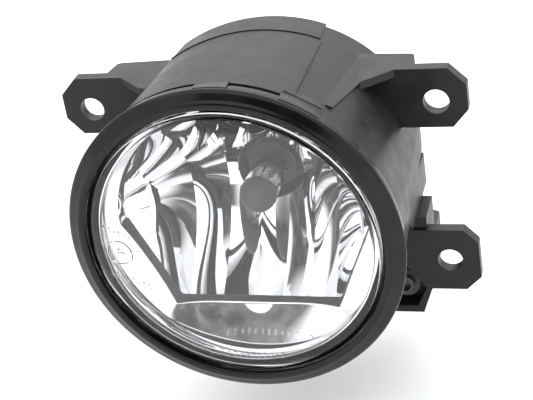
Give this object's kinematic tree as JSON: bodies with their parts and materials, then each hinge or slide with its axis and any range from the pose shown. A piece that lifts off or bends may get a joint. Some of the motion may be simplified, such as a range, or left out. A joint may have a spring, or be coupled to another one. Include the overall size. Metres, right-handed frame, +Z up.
{
  "type": "fog light",
  "caption": "Round car fog light: drum housing with three mounting ears, gloss front ring, domed clear lens, tilting reflector, twist-lock bulb and aiming screw.",
  "frame": {"origin": "midway between the two upper ear holes, on the ears' front face", "axes": "+X to the right as seen from the front, along the line of the upper ear holes; +Y towards the rear, along the lens axis; +Z up"},
  "size_m": [0.1302, 0.0921, 0.1043],
  "materials": {
    "black_plastic": "matte, finely grained",
    "gloss_black": "gloss",
    "clear_glass": "clear, polished",
    "sealant": "matte",
    "bare_moulding": "satin, the mirrored bowl's bare back and step",
    "aluminised": "mirror",
    "steel": "turned",
    "nylon": "satin",
    "dark_nylon": "satin",
    "rubber": "matte",
    "spring_steel": "blackened, satin",
    "bulb_plastic": "satin",
    "bulb_glass": "clear",
    "tip_coating": "matte",
    "tungsten": "drawn wire",
    "tinned_brass": "tinned",
    "membrane": "matte"
  },
  "bodies": {
    "lamp": {"housing": "black_plastic", "bezel": "gloss_black", "lens": "clear_glass", "lens_seal": "sealant", "pivot_bushes": "nylon", "bulb_boot": "rubber", "vent_cap": "rubber", "vent_membrane": "membrane"},
    "reflector": {"reflector": "bare_moulding", "pivot_pins": "steel"},
    "bulb": {"bulb_base": "bulb_plastic", "bulb_glass": "bulb_glass", "bulb_tip_cap": "tip_coating", "bulb_filament": "tungsten", "filament_leads": "tungsten", "bulb_collar": "spring_steel", "bulb_terminals": "tinned_brass", "bulb_seal": "rubber"},
    "adjuster": {"adjuster_screw": "dark_nylon", "adjuster_seal": "rubber", "adjuster_clip": "spring_steel"},
    "slider": {"adjuster_nut": "nylon"}
  },
  "joints": [
    {"name": "reflector_tilt", "type": "hinge", "parent": "lamp", "child": "reflector", "pos_m": [0, -0.0134, -0.0237], "axis": [1, 0, 0], "range_deg": [-3, 3], "deforming": ["bulb_boot"]},
    {"name": "bulb_twist", "type": "hinge", "parent": "reflector", "child": "bulb", "pos_m": [0, 0.0211, -0.0237], "axis": [0, 1, 0], "range_deg": [0, 40]},
    {"name": "aiming_screw_turn", "type": "hinge", "parent": "lamp", "child": "adjuster", "pos_m": [0.0395, 0.0066, -0.0672], "axis": [0, 1, 0], "range_deg": [-254, 254]},
    {"name": "nut_travel", "type": "slide", "parent": "lamp", "child": "slider", "axis": [0, 1, 0], "range_m": [-0.00142, 0.00142]}
  ],
  "couplings": [
    {"joint": "nut_travel", "follows": "reflector_tilt", "m_per_rad": 0.0269},
    {"joint": "aiming_screw_turn", "follows": "reflector_tilt", "ratio": -84.509}
  ]
}
